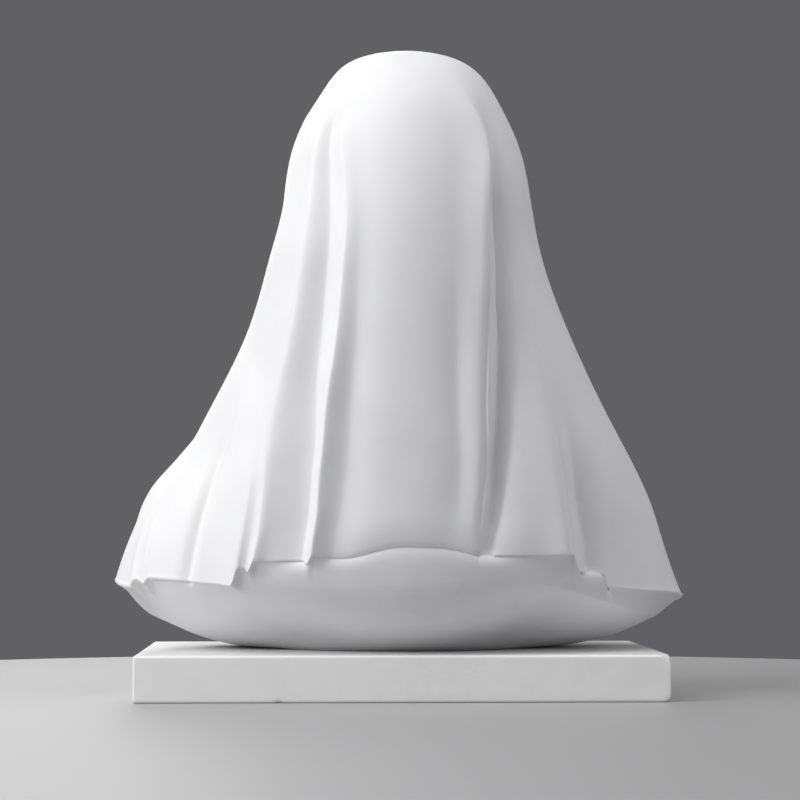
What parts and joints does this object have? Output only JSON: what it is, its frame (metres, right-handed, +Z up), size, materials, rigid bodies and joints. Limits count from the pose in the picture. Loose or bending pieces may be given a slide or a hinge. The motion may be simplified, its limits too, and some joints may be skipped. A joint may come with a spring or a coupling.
{
  "type": "veiled marble bust on a plinth",
  "caption": "Carved marble bust under a long veil with pleated folds, resting on a low rectangular marble plinth.",
  "frame": {"origin": "centre of the plinth's underside, where it stands on a shelf or table", "axes": "+Z up, X across the shoulders, +Y out through the face, so that the veil's back, with the long folds, faces -Y"},
  "size_m": [0.4549, 0.252, 0.5093],
  "materials": {
    "statue_marble": "smooth white marble, honed, faint grey clouding",
    "plinth_marble": "polished white marble with soft grey veins"
  },
  "bodies": {
    "root": {"veiled_bust": "statue_marble", "plinth": "plinth_marble"}
  },
  "joints": []
}
